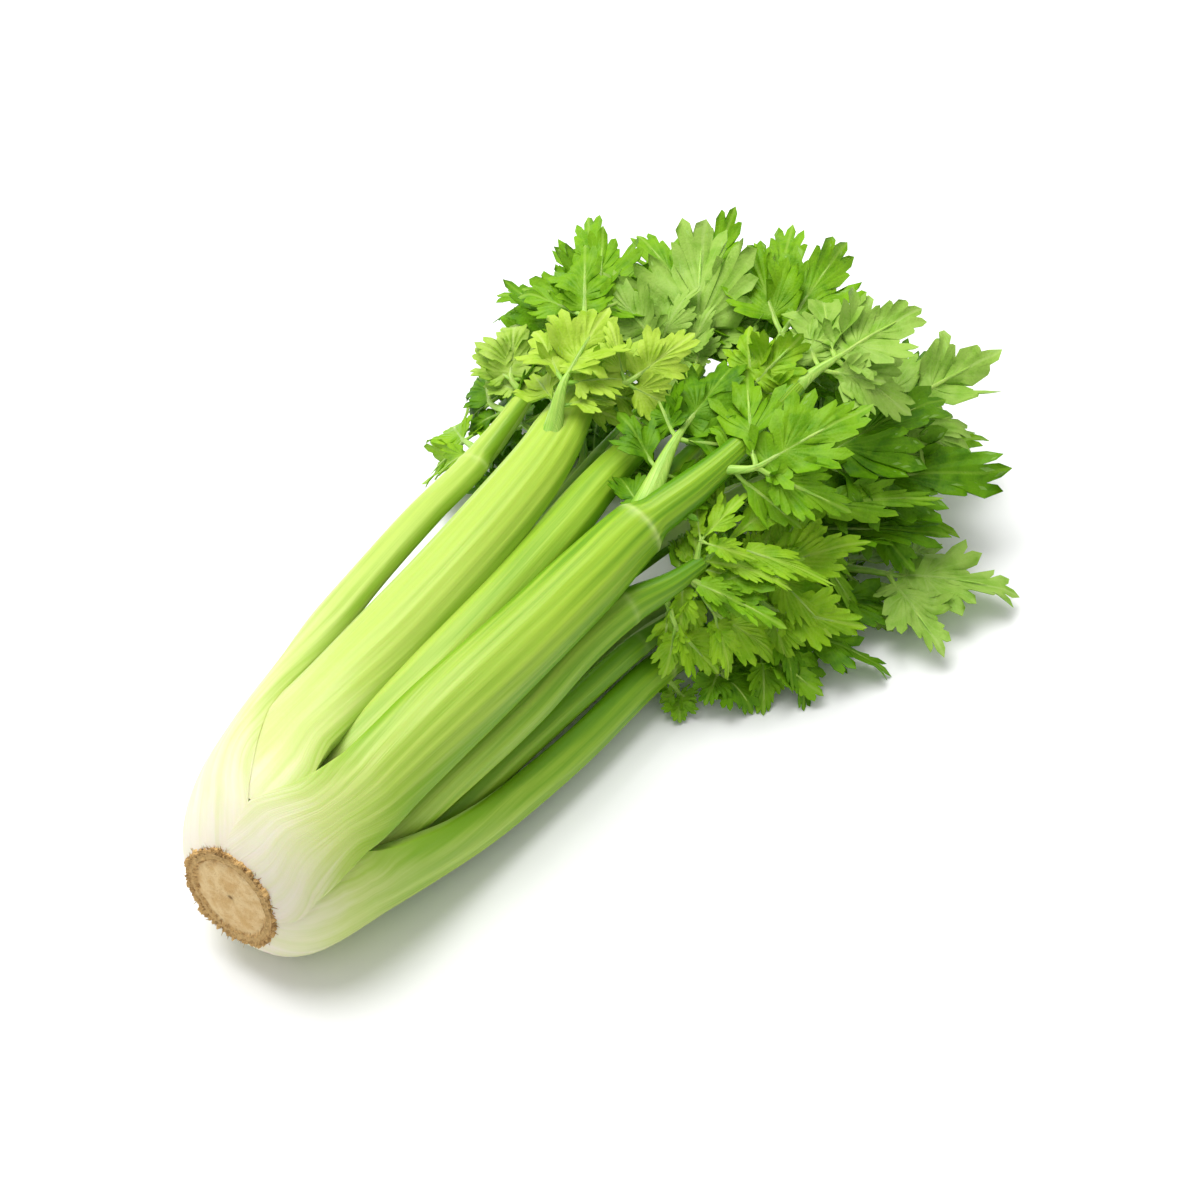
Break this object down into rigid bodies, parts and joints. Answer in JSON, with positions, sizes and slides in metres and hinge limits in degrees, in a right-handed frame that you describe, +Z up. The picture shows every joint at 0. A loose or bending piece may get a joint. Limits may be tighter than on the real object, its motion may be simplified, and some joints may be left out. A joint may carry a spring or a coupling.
{
  "type": "head of celery",
  "caption": "Whole head of celery lying on its side: cut butt, stalks in overlapping whorls and a spray of toothed green leaves.",
  "frame": {"origin": "centre of the head's footprint, on the surface that it lies on", "axes": "+X along the head from the cut butt to the leaves, +Y to the left when looking that way, +Z up"},
  "size_m": [0.4092, 0.2524, 0.1169],
  "materials": {
    "butt": "dry cut face, tan with a brown frayed rim",
    "stalk": "waxy ribbed skin, cream at the base and pale green above",
    "leaf": "soft semi-matt leaf, green with paler veins and underside"
  },
  "bodies": {
    "root": {"butt": "butt", "stalk_back_left": "stalk", "stalk_bottom_left": "stalk", "stalk_bottom_middle": "stalk", "stalk_bottom_right": "stalk", "stalk_front": "stalk", "stalk_heart_left": "stalk", "stalk_heart_low": "stalk", "stalk_heart_right": "stalk", "stalk_left": "stalk", "stalk_right": "stalk", "stalk_right_inner": "stalk", "stalk_right_lower": "stalk", "stalk_top_left": "stalk", "stalk_top_middle": "stalk", "leaf_back_dark": "leaf", "leaf_back_end": "leaf", "leaf_back_low": "leaf", "leaf_bright_lower": "leaf", "leaf_bright_upper": "leaf", "leaf_deep_green": "leaf", "leaf_far_broad": "leaf", "leaf_far_dark": "leaf", "leaf_far_floor": "leaf", "leaf_far_side": "leaf", "leaf_far_slim": "leaf", "leaf_floor_broad": "leaf", "leaf_floor_dark": "leaf", "leaf_floor_far": "leaf", "leaf_floor_mid": "leaf", "leaf_floor_near": "leaf", "leaf_floor_pale": "leaf", "leaf_floor_small": "leaf", "leaf_front_end": "leaf", "leaf_front_left": "leaf", "leaf_front_right": "leaf", "leaf_heart_broad": "leaf", "leaf_heart_curl": "leaf", "leaf_heart_drop": "leaf", "leaf_heart_side": "leaf", "leaf_heart_tall": "leaf", "leaf_left_back": "leaf", "leaf_left_end": "leaf", "leaf_left_low": "leaf", "leaf_left_pale": "leaf", "leaf_low_slim": "leaf", "leaf_right_broad": "leaf", "leaf_right_fold": "leaf", "leaf_right_hang": "leaf", "leaf_right_narrow": "leaf", "leaf_right_slim": "leaf", "leaf_silver": "leaf", "leaf_silver_side": "leaf", "leaf_top_end": "leaf", "leaf_top_side": "leaf", "leaf_under_end": "leaf", "leaf_under_left": "leaf", "leaf_under_mid": "leaf", "leaf_yellow_left": "leaf", "leaf_yellow_right": "leaf"}
  },
  "joints": []
}
